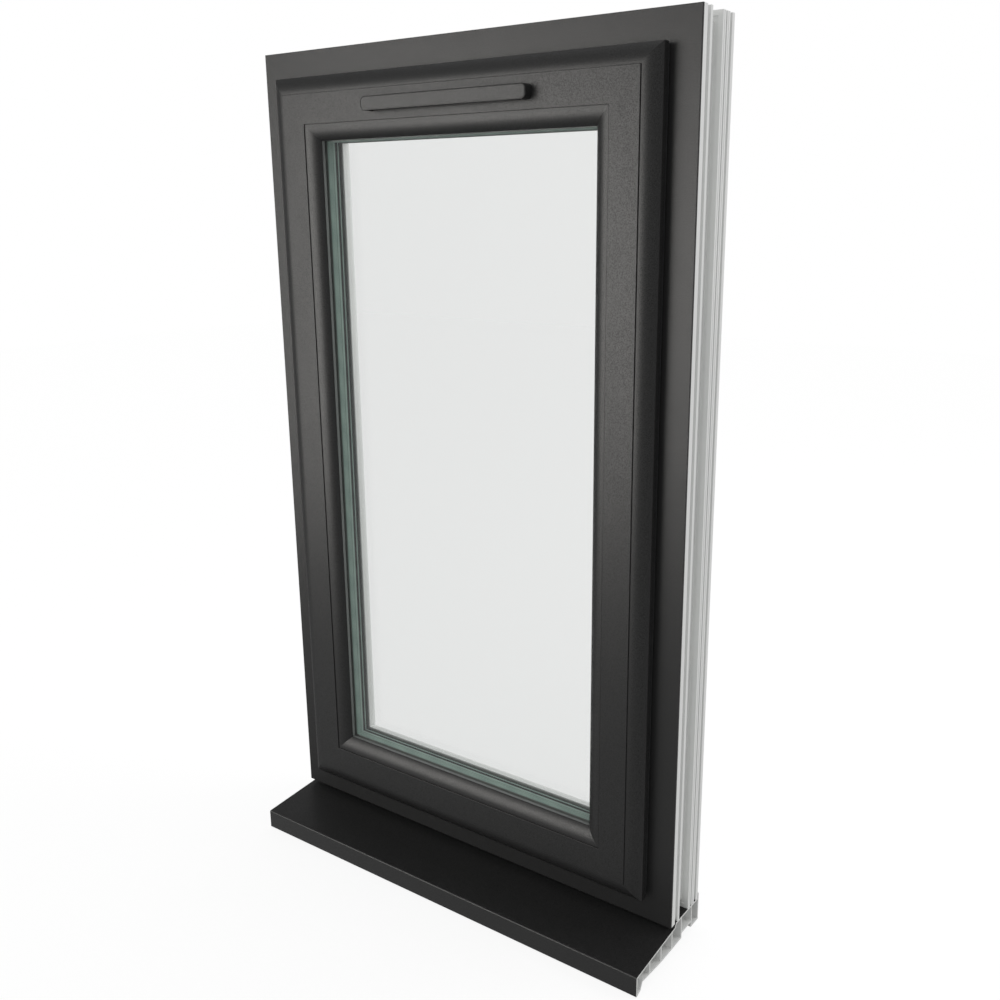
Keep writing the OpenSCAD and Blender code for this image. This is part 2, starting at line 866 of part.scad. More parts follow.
// Trickle vent: a canopy outside, and a sliding hit-and-miss shutter on a grille inside.
module vent_canopy() {
  front = -sash_proud - canopy_depth;
  hollow = canopy_height - canopy_wall;
  color(foil) at_head() translate([canopy_shift, 0, vent_centre]) difference() {
    upright(front, -sash_proud) rounded_rectangle([vent_length, canopy_height], canopy_corner);
    translate([-(vent_length / 2 - canopy_corner), front + canopy_wall, canopy_wall - canopy_height / 2])
      cube([vent_length - 2 * canopy_corner, canopy_depth, hollow + cut]);
  }
}

// Row of slots through the grille or the shutter, centred on X = 0.
module vent_slots(y_from, y_to) {
  for (i = [0 : slot_count - 1])
    translate([(i - (slot_count - 1) / 2) * slot_pitch - slot_width / 2, y_from, grille_low])
      cube([slot_width, y_to - y_from, grille_high - grille_low]);
}

module vent_grille() {
  rail_back = sash_back + rail_height + vent_rail / 2;
  color(white) at_head() difference() {
    translate([-vent_length / 2, sash_back, vent_low])
      cube([vent_length, rail_back - sash_back, vent_high - vent_low]);
    translate([-channel_length / 2, sash_back + grille_thickness, channel_low])
      cube([channel_length, rail_height - grille_thickness, channel_high - channel_low]);
    translate([-channel_length / 2, sash_back + grille_thickness, grille_low - vent_rail / 2])
      cube([channel_length, rail_back, grille_high - grille_low + vent_rail]);
    vent_slots(sash_back - cut, sash_back + grille_thickness + cut);
  }
}

module vent_shutter() {
  shutter_back = shutter_front + shutter_thickness;
  color(white) at_head() translate([-shutter_travel / 2, 0, 0]) {
    difference() {
      translate([-shutter_length / 2, shutter_front, shutter_low])
        cube([shutter_length, shutter_thickness, shutter_high - shutter_low]);
      translate([-shutter_travel / 2, 0, 0]) vent_slots(shutter_front - cut, shutter_back + cut);
    }
    translate([-grip_length / 2, shutter_back - cut, grille_low])
      cube([grip_length, grip_reach + cut, grille_high - grille_low]);
  }
}

cill();
frame_bottom();
frame_head();
frame_jamb_hinge();
frame_jamb_lock();
frame_gasket();
stay_track_bottom();
stay_track_top();
lock_keep_lower();
lock_keep_upper();
short_arm_bottom();
short_arm_top();
long_arm_bottom();
long_arm_top();
sash_bottom_rail();
sash_top_rail();
sash_stile_hinge();
sash_stile_lock();
sash_gasket();
stay_plate_bottom();
stay_plate_top();
outer_pane();
inner_pane();
spacer_bar();
glass_edge_seal();
outer_glazing_gasket();
inner_glazing_gasket();
glazing_packers();
bead_bottom();
bead_top();
bead_hinge();
bead_lock();
lock_faceplate();
lock_gearbox();
lock_bar();
handle_base();
handle_lever();
vent_canopy();
vent_grille();
vent_shutter();
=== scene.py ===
import math

import bmesh
import bpy
from mathutils import Matrix, Vector


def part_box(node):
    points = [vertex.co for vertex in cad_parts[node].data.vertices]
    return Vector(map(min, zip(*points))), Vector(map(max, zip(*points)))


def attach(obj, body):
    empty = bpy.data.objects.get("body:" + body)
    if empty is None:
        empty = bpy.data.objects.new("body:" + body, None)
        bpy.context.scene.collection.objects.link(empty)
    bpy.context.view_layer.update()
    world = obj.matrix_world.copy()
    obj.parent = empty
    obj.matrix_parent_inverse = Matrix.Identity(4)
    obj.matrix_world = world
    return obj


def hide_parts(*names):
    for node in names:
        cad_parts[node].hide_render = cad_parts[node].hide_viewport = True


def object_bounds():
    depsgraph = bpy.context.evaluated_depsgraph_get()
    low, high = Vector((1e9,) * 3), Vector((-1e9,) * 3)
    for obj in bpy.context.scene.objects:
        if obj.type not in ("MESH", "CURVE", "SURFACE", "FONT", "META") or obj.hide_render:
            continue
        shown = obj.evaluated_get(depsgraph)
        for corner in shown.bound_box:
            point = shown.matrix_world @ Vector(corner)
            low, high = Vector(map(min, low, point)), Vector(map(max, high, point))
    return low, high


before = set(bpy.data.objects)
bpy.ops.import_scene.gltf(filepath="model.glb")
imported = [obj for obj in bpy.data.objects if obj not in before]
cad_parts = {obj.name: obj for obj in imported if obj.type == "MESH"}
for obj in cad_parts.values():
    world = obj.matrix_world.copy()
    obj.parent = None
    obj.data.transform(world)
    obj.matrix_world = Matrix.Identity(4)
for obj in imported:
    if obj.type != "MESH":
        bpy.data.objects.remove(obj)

cad_box = [list(corner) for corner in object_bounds()]


# Outer frame: four mitred lengths of one extruded PVC profile, welded at the corners.
# The outside is laminated with a dark embossed foil that turns just round the front edge;
# the ribbed back edges, the rebate and the room side stay the white of the plastic.
MM = 0.001
FOIL, PLASTIC = 0, 1
frame_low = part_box("frame_jamb_hinge")[0] / MM
frame_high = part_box("frame_jamb_lock")[1] / MM
frame_width = frame_high.x - frame_low.x
frame_height = frame_high.z - frame_low.z
frame_depth = frame_high.y
frame_base = frame_low.z
frame_middle = frame_base + frame_height / 2
frame_top = frame_high.z
rebate_height = 40
leg_front = 50
leg_top = 58.5
foil_return = 2.4
foil_in_rebate = 8
half_turn = math.pi
quarter_turn = math.pi / 2

# Each length is drawn as the bottom one, in depth Y and margin U, and turned to its side.
sides = {
    "bottom": (frame_width, Matrix.Translation((0, 0, frame_base))),
    "head": (frame_width, Matrix.Translation((0, 0, frame_top)) @ Matrix.Rotation(half_turn, 4, "Y")),
    "hinge": (
        frame_height,
        Matrix.Translation((-frame_width / 2, 0, frame_middle)) @ Matrix.Rotation(quarter_turn, 4, "Y"),
    ),
    "lock": (
        frame_height,
        Matrix.Translation((frame_width / 2, 0, frame_middle)) @ Matrix.Rotation(-quarter_turn, 4, "Y"),
    ),
}


def linear(colour):
    """Linear RGBA of an sRGB hex colour."""
    channels = [int(colour[i : i + 2], 16) / 255 for i in (1, 3, 5)]
    return [c / 12.92 if c <= 0.04045 else ((c + 0.055) / 1.055) ** 2.4 for c in channels] + [1]


def set_sockets(tree, node, links):
    """Gives each of these sockets its value, or joins the output that feeds it."""
    for socket, value in links.items():
        if isinstance(value, bpy.types.NodeSocket):
            tree.links.new(value, node.inputs[socket])
        else:
            node.inputs[socket].default_value = value


def add_node(tree, kind, links=None, **settings):
    """Node of that kind, with its settings and what its sockets hold."""
    node = tree.nodes.new(kind)
    for setting, value in settings.items():
        setattr(node, setting, value)
    set_sockets(tree, node, links or {})
    return node


def start_finish(name):
    """New material with its node tree, its shader and the coordinates in metres."""
    finish = bpy.data.materials.new(name)
    finish.use_nodes = True
    tree = finish.node_tree
    place = add_node(tree, "ShaderNodeTexCoord").outputs["Object"]
    return finish, tree, tree.nodes["Principled BSDF"], place


# PVC laminate foil, calendered and embossed: satin, nearly black, with a fine all-over grain whose
# pits are duller than its ridges. The real grain of about 0.4 mm is drawn at 0.8 mm so that it shows.
grain_size = 0.8 * MM
mottle_size = 35 * MM
grain_height = 0.16 * MM
foil, tree, shader, place = start_finish("PVC laminate foil, embossed")
grain = add_node(
    tree, "ShaderNodeTexNoise",
    {"Vector": place, "Scale": 1 / grain_size, "Detail": 2.0, "Roughness": 0.6},
)
mottle = add_node(
    tree, "ShaderNodeTexNoise", {"Vector": place, "Scale": 1 / mottle_size, "Detail": 3.0}
)
ridges = add_node(
    tree, "ShaderNodeMapRange", {"Value": grain.outputs[0], "From Min": 0.36, "From Max": 0.64}
)
tone = add_node(
    tree, "ShaderNodeMix",
    {0: ridges.outputs[0], 6: linear("#121212"), 7: linear("#303030")},
    data_type="RGBA",
)
pits = add_node(
    tree, "ShaderNodeMapRange",
    {"Value": mottle.outputs[0], "From Min": 0.3, "From Max": 0.7, "To Min": 0.5, "To Max": 0.56},
)
gloss = add_node(
    tree, "ShaderNodeMapRange", {"Value": ridges.outputs[0], "To Min": pits.outputs[0], "To Max": 0.27}
)
relief = add_node(
    tree, "ShaderNodeBump",
    {"Height": grain.outputs[0], "Strength": 0.9, "Distance": grain_height},
)
set_sockets(tree, shader, {
    "Base Color": tone.outputs[2], "Roughness": gloss.outputs[0], "Normal": relief.outputs[0],
    "IOR": 1.5, "Specular IOR Level": 0.15,
})

# Unplasticised PVC, extruded: clean satin white, with the faint waviness of a drawn surface.
wave_size = 14 * MM
wave_height = 0.05 * MM
tint_size = 160 * MM
white_plastic, tree, shader, place = start_finish("Unplasticised PVC, extruded white")
tint = add_node(tree, "ShaderNodeTexNoise", {"Vector": place, "Scale": 1 / tint_size, "Detail": 2.0})
waves = add_node(tree, "ShaderNodeTexNoise", {"Vector": place, "Scale": 1 / wave_size, "Detail": 1.0})
tone = add_node(
    tree, "ShaderNodeMix",
    {0: tint.outputs[0], 6: linear("#DDDEDD"), 7: linear("#E3E4E2")},
    data_type="RGBA",
)
gloss = add_node(
    tree, "ShaderNodeMapRange",
    {"Value": waves.outputs[0], "From Min": 0.3, "From Max": 0.7, "To Min": 0.28, "To Max": 0.36},
)
relief = add_node(
    tree, "ShaderNodeBump",
    {"Height": waves.outputs[0], "Strength": 0.4, "Distance": wave_height},
)
set_sockets(tree, shader, {
    "Base Color": tone.outputs[2], "Roughness": gloss.outputs[0], "Normal": relief.outputs[0],
    "IOR": 1.53, "Specular IOR Level": 0.2,
})


def rounded_outline(corners):
    """Points of a closed outline from corners (first, second, rounding radius), all in mm."""
    step = math.radians(15)
    points = []
    for i, (first, second, radius) in enumerate(corners):
        here = Vector((first, second))
        back = (Vector(corners[i - 1][:2]) - here).normalized()
        ahead = (Vector(corners[(i + 1) % len(corners)][:2]) - here).normalized()
        if not radius:
            points.append(here)
            continue
        half = back.angle(ahead) / 2
        centre = here + (back + ahead).normalized() * radius / math.sin(half)
        start = here + back * radius / math.tan(half) - centre
        sweep = start.angle_signed(here + ahead * radius / math.tan(half) - centre)
        count = max(2, math.ceil(abs(sweep) / step))
        for k in range(count + 1):
            points.append(centre + Matrix.Rotation(-sweep * k / count, 2) @ start)
    return points


def mitred_length(side, points, is_foil):
    """Mesh of one length on that side of the frame: the outline drawn along it to its two mitres."""
    span, place = sides[side]
    mesh = bmesh.new()
    ends = [
        [mesh.verts.new(place @ Vector((end * (span / 2 - u), y, u))) for y, u in points]
        for end in (-1, 1)
    ]
    for i, point in enumerate(points):
        following = (i + 1) % len(points)
        face = mesh.faces.new((ends[0][i], ends[0][following], ends[1][following], ends[1][i]))
        middle = (point + points[following]) / 2
        face.material_index = FOIL if is_foil(*middle) else PLASTIC
    for end in ends:
        mesh.faces.new(end).material_index = PLASTIC
    bmesh.ops.scale(mesh, vec=(MM, MM, MM), verts=mesh.verts)
    bmesh.ops.recalc_face_normals(mesh, faces=mesh.faces)
    return mesh


def box_mesh(low, high):
    """Plain box between two corners in mm, as a cutter for a pocket or slot."""
    low, high = Vector(low) * MM, Vector(high) * MM
    mesh = bmesh.new()
    size = Matrix.Diagonal((*(high - low), 1))
    bmesh.ops.create_cube(mesh, size=1, matrix=Matrix.Translation((low + high) / 2) @ size)
    for face in mesh.faces:
        face.material_index = PLASTIC
    return mesh


def cut_out(mesh, cutter):
    """Mesh with the cutter taken out of it."""
    pair = []
    for part in (mesh, cutter):
        data = bpy.data.meshes.new("being cut")
        part.to_mesh(data)
        part.free()
        for finish in (foil, white_plastic):
            data.materials.append(finish)
        pair.append(bpy.data.objects.new("being cut", data))
        bpy.context.scene.collection.objects.link(pair[-1])
    cut = pair[0].modifiers.new("cut", "BOOLEAN")
    cut.object = pair[1]
    cut.solver = "EXACT"
    result = bmesh.new()
    bpy.context.view_layer.update()
    result.from_object(pair[0], bpy.context.evaluated_depsgraph_get())
    for used in pair:
        bpy.data.objects.remove(used)
    return result


def add_piece(name, mesh, finishes, body, slot, *nodes):
    """Puts the mesh in the scene as one piece that rides on a body and stands for those nodes."""
    data = bpy.data.meshes.new(name)
    mesh.to_mesh(data)
    mesh.free()
    for polygon in data.polygons:
        polygon.use_smooth = True
        if len(finishes) == 1:
            polygon.material_index = 0
    data.set_sharp_from_angle(angle=math.radians(35))
    for finish in finishes:
        data.materials.append(finish)
    piece = bpy.data.objects.new(name, data)
    bpy.context.scene.collection.objects.link(piece)
    shading = piece.modifiers.new("even shading", "WEIGHTED_NORMAL")
    shading.keep_sharp = True
    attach(piece, body)
    if nodes:
        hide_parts(*nodes)
    return piece


frame_outline = rounded_outline([
    (0, 0, 0.5), (foil_return, 0, 0), (10.8, 0, 1.0), (10.8, 4, 0.4), (16.4, 4, 0.4), (16.4, 0, 0.5),
    (21.8, 0, 1.2), (21.8, 10, 0.6), (44.6, 10, 0.4), (44.6, 5.8, 0.3), (43.4, 5.4, 0.3),
    (43.4, 0, 0.5),
    (46.4, 0, 0.2), (46.6, 0.9, 0.1), (47.2, 0.9, 0.1), (47.4, 0, 0.2),
    (50.6, 0, 0.8), (50.6, 4, 0.3), (52.6, 4, 0.3), (52.6, 0, 0.4),
    (55.4, 0, 0.2), (55.6, 0.9, 0.1), (56.2, 0.9, 0.1), (56.4, 0, 0.2),
    (60, 0, 0.9), (60, 4, 0.4), (64, 4, 0.4), (64, 0, 0.5),
    (frame_depth, 0, 0.8), (frame_depth, leg_top, 4), (leg_front, leg_top, 2),
    (leg_front, rebate_height, 1), (0, rebate_height, 0.8),
])


def frame_is_foil(y, u):
    """Whether the foil covers the frame's profile there."""
    return y < foil_return or (u > rebate_height - 1 and y < foil_in_rebate)


for side, node in {
    "bottom": "frame_bottom", "head": "frame_head",
    "hinge": "frame_jamb_hinge", "lock": "frame_jamb_lock",
}.items():
    length = mitred_length(side, frame_outline, frame_is_foil)
    add_piece("outer_" + node, length, [foil, white_plastic], "frame", "foiled_profile", node)


# Cill: an open-ended PVC extrusion with thin walls and webs, foiled on its weather side.
# Its nose hangs in front as a drip edge; the frame is screwed down on its seat.
CUT_END = 2
nose_foil, top_foil, upstand_front = -78.8, 16.5, 70
cill_outline = rounded_outline([
    (-80, 17.4, 2), (10.5, 25.6, 1), (13.6, 31, 0.8), (70.3, 31, 0), (70.3, 37, 0.4), (72.5, 37, 0.4),
    (72.5, 0, 0.6), (53, 0, 0.6), (53, 7, 0.6), (28.8, 7, 0.6), (28.8, 0, 0.6),
    (-22.8, 0, 3), (-66, 3.5, 0.8), (-70.67, -5.1, 0.8), (-79, -8.4, 0.4), (-80, -7.4, 0.4),
])
cill_chambers = [rounded_outline([(y, z, 0.7) for y, z in chamber]) for chamber in (
    [(-77.8, 15.4), (-50.9, 17.84), (-50.9, 4.39), (-66, 5.7), (-68.2, 3.5), (-72.87, -2.9),
     (-77.8, -4)],
    [(-48.7, 4.3), (-23.9, 2.29), (-23.9, 20.28), (-48.7, 18.04)],
    [(-21.7, 2.2), (2.9, 2.2), (2.9, 22.71), (-21.7, 20.48)],
    [(5.1, 2.2), (26.6, 2.2), (26.6, 28.8), (14.7, 28.8), (11.6, 23.4), (5.1, 22.91)],
    [(28.8, 9.2), (53, 9.2), (53, 28.8), (28.8, 28.8)],
    [(55.2, 2.2), (70.3, 2.2), (70.3, 28.8), (55.2, 28.8)],
)]

# Sawn PVC: the cut end keeps the saw's fine lines and looks duller than the drawn surface.
saw_mark = 1.4 * MM
sawn_plastic, tree, shader, place = start_finish("Unplasticised PVC, sawn")
marks = add_node(
    tree, "ShaderNodeTexWave",
    {"Vector": place, "Scale": 1 / (saw_mark * 20), "Distortion": 1.5, "Detail": 2.0},
    bands_direction="Y",
)
tone = add_node(
    tree, "ShaderNodeMix",
    {0: marks.outputs[1], 6: linear("#D3D4D2"), 7: linear("#DCDDDB")},
    data_type="RGBA",
)
relief = add_node(
    tree, "ShaderNodeBump",
    {"Height": marks.outputs[1], "Strength": 0.3, "Distance": 0.05 * MM},
)
set_sockets(tree, shader, {
    "Base Color": tone.outputs[2], "Roughness": 0.6, "Normal": relief.outputs[0], "IOR": 1.53,
})

cill = bmesh.new()
end_edges = {-1: [], 1: []}
for number, loop in enumerate([cill_outline, *cill_chambers]):
    ends = {
        end: [cill.verts.new((end * frame_width / 2, y, z)) for y, z in loop] for end in (-1, 1)
    }
    for i, point in enumerate(loop):
        following = (i + 1) % len(loop)
        middle = (point + loop[following]) / 2
        on_weather_side = number == 0 and (
            middle.x < nose_foil or (middle.y > top_foil and middle.x < upstand_front)
        )
        face = cill.faces.new((ends[-1][i], ends[-1][following], ends[1][following], ends[1][i]))
        face.material_index = FOIL if on_weather_side else PLASTIC
        for end in (-1, 1):
            end_edges[end].append(cill.edges.get((ends[end][i], ends[end][following])))
for end in (-1, 1):
    filled = bmesh.ops.triangle_fill(cill, use_beauty=True, edges=end_edges[end])
    for face in filled["geom"]:
        if isinstance(face, bmesh.types.BMFace):
            face.material_index = CUT_END
bmesh.ops.scale(cill, vec=(MM, MM, MM), verts=cill.verts)
bmesh.ops.recalc_face_normals(cill, faces=cill.faces)
add_piece(
    "weathered_cill", cill, [foil, white_plastic, sawn_plastic], "frame", "foiled_profile", "cill"
)


# Frame gasket: an extruded rubber bulb pressed into the stop leg, which the closed sash squeezes.
# One length runs round all four sides, mitred at the corners.
def mitred_ring(points):
    """Mesh of an outline in depth Y and margin U, drawn round the four sides of the window."""
    mesh = bmesh.new()
    corners = [
        [
            mesh.verts.new((
                across * (frame_width / 2 - u), y, frame_middle + up * (frame_height / 2 - u)
            ))
            for y, u in points
        ]
        for across, up in ((-1, -1), (1, -1), (1, 1), (-1, 1))
    ]
    for k, corner in enumerate(corners):
        beyond = corners[(k + 1) % 4]
        for i in range(len(points)):
            following = (i + 1) % len(points)
            mesh.faces.new((corner[i], corner[following], beyond[following], beyond[i]))
    bmesh.ops.scale(mesh, vec=(MM, MM, MM), verts=mesh.verts)
    bmesh.ops.recalc_face_normals(mesh, faces=mesh.faces)
    return mesh


# EPDM rubber, extruded: deep black with a dry, slightly uneven skin.
skin_size = 0.9 * MM
black_rubber, tree, shader, place = start_finish("EPDM rubber, extruded black")
skin = add_node(tree, "ShaderNodeTexNoise", {"Vector": place, "Scale": 1 / skin_size, "Detail": 2.0})
tone = add_node(
    tree, "ShaderNodeMix",
    {0: skin.outputs[0], 6: linear("#18191A"), 7: linear("#222324")},
    data_type="RGBA",
)
relief = add_node(
    tree, "ShaderNodeBump",
    {"Height": skin.outputs[0], "Strength": 0.4, "Distance": 0.05 * MM},
)
set_sockets(tree, shader, {
    "Base Color": tone.outputs[2], "Roughness": 0.55, "Normal": relief.outputs[0], "IOR": 1.52,
})

seal_outline = rounded_outline([
    (46.8, 53.9, 1.2), (50, 53.9, 0.4), (50, 58.1, 0.4), (46.8, 58.1, 1.2),
])
add_piece(
    "frame_seal", mitred_ring(seal_outline), [black_rubber], "frame", "gasket_rubber", "frame_gasket"
)


# Friction stays, top and bottom: pressed stainless steel strips in the gap beside the sash.
# The tracks are screwed to the frame's rebate; the arms turn on rivets with round heads.

# Stainless steel, rolled and brushed along the strip: soft grey with fine streaks.
streak_length = 40 * MM
streak_width = 0.5 * MM
steel, tree, shader, place = start_finish("Stainless steel, brushed")
stretched = add_node(
    tree, "ShaderNodeMapping",
    {"Vector": place, "Scale": (1 / streak_length, 1 / streak_width, 1 / streak_width)},
)
streaks = add_node(
    tree, "ShaderNodeTexNoise", {"Vector": stretched.outputs[0], "Scale": 1.0, "Detail": 2.0}
)
tone = add_node(
    tree, "ShaderNodeMix",
    {0: streaks.outputs[0], 6: linear("#A9ACAE"), 7: linear("#C6C8C9")},
    data_type="RGBA",
)
gloss = add_node(
    tree, "ShaderNodeMapRange",
    {"Value": streaks.outputs[0], "From Min": 0.3, "From Max": 0.7, "To Min": 0.26, "To Max": 0.42},
)
relief = add_node(
    tree, "ShaderNodeBump",
    {"Height": streaks.outputs[0], "Strength": 0.2, "Distance": 0.03 * MM},
)
set_sockets(tree, shader, {
    "Base Color": tone.outputs[2], "Metallic": 1.0, "Roughness": gloss.outputs[0],
    "Normal": relief.outputs[0],
})


def refinish(node, finish):
    """Gives a CAD node that stays in view its real finish."""
    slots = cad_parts[node].data.materials
    slots.clear()
    slots.append(finish)


for end in ("bottom", "top"):
    for strip in ("stay_track", "short_arm", "long_arm", "stay_plate"):
        refinish(strip + "_" + end, steel)


def lathe(profile, segments=32):
    """Closed mesh turned from (radius, height) points about Z, in metres from mm."""
    mesh = bmesh.new()
    rings = []
    for radius, height in profile:
        if radius:
            rings.append([
                mesh.verts.new((
                    radius * math.cos(2 * math.pi * k / segments) * MM,
                    radius * math.sin(2 * math.pi * k / segments) * MM,
                    height * MM,
                ))
                for k in range(segments)
            ])
        else:
            rings.append([mesh.verts.new((0, 0, height * MM))])
    for lower, upper in zip(rings, rings[1:]):
        for k in range(segments):
            beside = (k + 1) % segments
            ordered = [lower[k % len(lower)], lower[beside % len(lower)],
                       upper[beside % len(upper)], upper[k % len(upper)]]
            mesh.faces.new([v for n, v in enumerate(ordered) if v not in ordered[:n]])
    bmesh.ops.recalc_face_normals(mesh, faces=mesh.faces)
    return mesh


# Screw with a low countersunk head and a cross recess, seated in its strip; each stops at its own turn.
screw_radius = 3.6
screw_rise = 0.55
screw_turn = 0.7
screw = lathe([(0, -1.6), (1.8, -1.6), (screw_radius, -0.1), (screw_radius, 0.1), (2.6, 0.42),
               (1.2, screw_rise), (0, screw_rise)], 24)
for turn in (0, quarter_turn):
    recess = box_mesh((-1.9, -0.35, -0.5), (1.9, 0.35, 2))
    bmesh.ops.rotate(recess, matrix=Matrix.Rotation(turn, 3, "Z"), verts=recess.verts)
    screw = cut_out(screw, recess)
screw_mesh = bpy.data.meshes.new("countersunk screw")
screw.to_mesh(screw_mesh)
screw.free()


def join_mesh(whole, part):
    """Adds a part to a mesh and frees the part."""
    data = bpy.data.meshes.new("being joined")
    part.to_mesh(data)
    part.free()
    whole.from_mesh(data)
    bpy.data.meshes.remove(data)


def add_screws(name, places, facing, body):
    """Screws at those points in mm, with their heads facing that way, as one piece."""
    turn = Vector(facing).to_track_quat("Z", "Y").to_matrix().to_4x4()
    screws = bmesh.new()
    for count, place in enumerate(places):
        one = bmesh.new()
        one.from_mesh(screw_mesh)
        spin = Matrix.Rotation(screw_turn * count, 4, "Z")
        seat = Matrix.Translation(Vector(place) * MM) @ turn @ spin
        bmesh.ops.transform(one, matrix=seat, verts=one.verts)
        join_mesh(screws, one)
    add_piece(name, screws, [steel], body, "stay_steel")


strip_thickness = 2.5
track_top = rebate_height + strip_thickness
track_screws = [(-250, 31), (-205, 33), (-120, 31), (-60, 15), (0, 31), (56, 15)]
for end, height, facing in (
    ("bottom", frame_base + track_top, (0, 0, 1)), ("top", frame_top - track_top, (0, 0, -1))
):
    add_screws("track_screws_" + end, [(x, y, height) for x, y in track_screws], facing, "frame")


# Keeps: two zinc castings, each held by two screws in the lock jamb's rebate.
# The lock's cams slide in behind their walls when the lever is turned.

# Zinc, die-cast and tumbled: flat grey with a slight cloudiness.
cloud_size = 3 * MM
zinc, tree, shader, place = start_finish("Zinc alloy, die-cast")
cloud = add_node(tree, "ShaderNodeTexNoise", {"Vector": place, "Scale": 1 / cloud_size, "Detail": 3.0})
tone = add_node(
    tree, "ShaderNodeMix",
    {0: cloud.outputs[0], 6: linear("#9A9C9D"), 7: linear("#B4B6B6")},
    data_type="RGBA",
)
gloss = add_node(
    tree, "ShaderNodeMapRange",
    {"Value": cloud.outputs[0], "From Min": 0.3, "From Max": 0.7, "To Min": 0.38, "To Max": 0.52},
)
set_sockets(tree, shader, {
    "Base Color": tone.outputs[2], "Metallic": 1.0, "Roughness": gloss.outputs[0],
})
keep_plate = 2.5
keep_face = frame_width / 2 - rebate_height - keep_plate
keep_screw_depth, keep_screw_inset = 26, 6
keep_screws = []
for node in ("lock_keep_lower", "lock_keep_upper"):
    refinish(node, zinc)
    low, high = (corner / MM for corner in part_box(node))
    for z in (low.z + keep_screw_inset, high.z - keep_screw_inset):
        keep_screws.append((keep_face, keep_screw_depth, z))
add_screws("keep_screws", keep_screws, (-1, 0, 0), "frame")


# Fixing caps: moulded white plastic caps, each with a short plug, two in each jamb's rebate.
# They are pushed into the mouths of the frame's fixing holes.
cap_depth, cap_spacing = 31, 600
cap_face = frame_width / 2 - rebate_height
for jamb, x, turn in (("hinge", -cap_face, quarter_turn), ("lock", cap_face, -quarter_turn)):
    caps = bmesh.new()
    for z in (frame_middle - cap_spacing / 2, frame_middle + cap_spacing / 2):
        cap = lathe([(0, -3), (4.8, -3), (4.8, 0), (7.2, 0), (7, 0.7), (5, 1.3), (0, 1.6)])
        cap_place = Matrix.Translation(Vector((x, cap_depth, z)) * MM) @ Matrix.Rotation(turn, 4, "Y")
        bmesh.ops.transform(cap, matrix=cap_place, verts=cap.verts)
        join_mesh(caps, cap)
    add_piece("fixing_caps_" + jamb, caps, [white_plastic], "frame", "white_plastic")


# Sash: four mitred lengths of a lipped PVC profile, foiled outside and white inside, welded at the
# corners. Outside it has a flat between two ovolo mouldings, each set off by a quirk, a fine groove;
# a flange laps over the frame, and a lip holds the glass.
flat_front = -23.5
quirk_width, quirk_floor = 0.6, -22.0
ovolo_front = -22.4
ovolo_drop = 8.8
ovolo_back = ovolo_front + ovolo_drop
sash_out, line_out, line_in, sash_in = 32, 52, 86.7, 105.5
flange_back = -4.9
sash_edge = 53.5
sash_back = 46.5
glaze_floor = 84
lip_front, lip_back, lip_step = -12.9, -11, 102.8


def ovolo(line, edge):
    """Points of the convex moulding from its quirk to its outer edge."""
    width = abs(edge - line)
    way = 1 if edge > line else -1
    radius = (width**2 + ovolo_drop**2) / (2 * ovolo_drop)
    count = 18
    points = []
    for k in range(count + 1):
        across = width * k / count
        depth = radius - math.sqrt(radius**2 - across**2)
        points.append((ovolo_front + depth, line + way * across, 0))
    return points


outer_ovolo = ovolo(line_out - quirk_width, sash_out)
inner_ovolo = ovolo(line_in + quirk_width, sash_in)
sash_outline = rounded_outline(
    outer_ovolo[::-1][1:]
    + [(quirk_floor, line_out - quirk_width, 0), (quirk_floor, line_out, 0),
       (flat_front, line_out, 0.5), (flat_front, line_in, 0.5),
       (quirk_floor, line_in, 0), (quirk_floor, line_in + quirk_width, 0)]
    + inner_ovolo[:-1]
    + [(ovolo_back, sash_in, 0.3), (lip_front, sash_in, 0.2), (lip_front, lip_step, 0.2),
       (lip_back, lip_step, 0.2), (lip_back, glaze_floor, 0), (sash_back, glaze_floor, 0.4),
       (sash_back, sash_edge, 3),
       (30, sash_edge, 0.4), (30, 56, 0.2), (27.8, 56, 0.2), (27.8, 59.1, 0.2),
       (16.2, 59.1, 0.2), (16.2, 56, 0.2), (14, 56, 0.2), (14, sash_edge, 0.4),
       (flange_back, sash_edge, 0.8), (flange_back, sash_out, 0.8), (ovolo_back, sash_out, 0.7)]
)


def sash_is_foil(y, u):
    """Whether the foil covers the sash's profile there: it ends behind the flange."""
    return y < flange_back - 0.05


slot_low, slot_high = 955.8, 966.8
slot_half = 100
slot_front, slot_back = -40, 60
gearbox_half = 45.3
gearbox_front, gearbox_back = 15.2, 28.8
gearbox_in, gearbox_out = 219, frame_width / 2 - 58
lock_depth = 22
spindle_x, spindle_z = 226.5, frame_middle
spindle_bore, bore_reach = 5.25, 40
into_room = Matrix.Rotation(-quarter_turn, 4, "X")
for side, node in {
    "bottom": "sash_bottom_rail", "head": "sash_top_rail",
    "hinge": "sash_stile_hinge", "lock": "sash_stile_lock",
}.items():
    length = mitred_length(side, sash_outline, sash_is_foil)
    if side == "head":
        slot = box_mesh((-slot_half, slot_front, slot_low), (slot_half, slot_back, slot_high))
        length = cut_out(length, slot)
    if side == "lock":
        pocket = box_mesh(
            (gearbox_in, gearbox_front, spindle_z - gearbox_half),
            (gearbox_out, gearbox_back, spindle_z + gearbox_half),
        )
        length = cut_out(length, pocket)
        bore = lathe([(0, 0), (spindle_bore, 0), (spindle_bore, bore_reach), (0, bore_reach)])
        for face in bore.faces:
            face.material_index = PLASTIC
        bore_place = Matrix.Translation(Vector((spindle_x, lock_depth, spindle_z)) * MM) @ into_room
        bmesh.ops.transform(bore, matrix=bore_place, verts=bore.verts)
        length = cut_out(length, bore)
    add_piece("lipped_" + node, length, [foil, white_plastic], "sash", "foiled_profile", node)


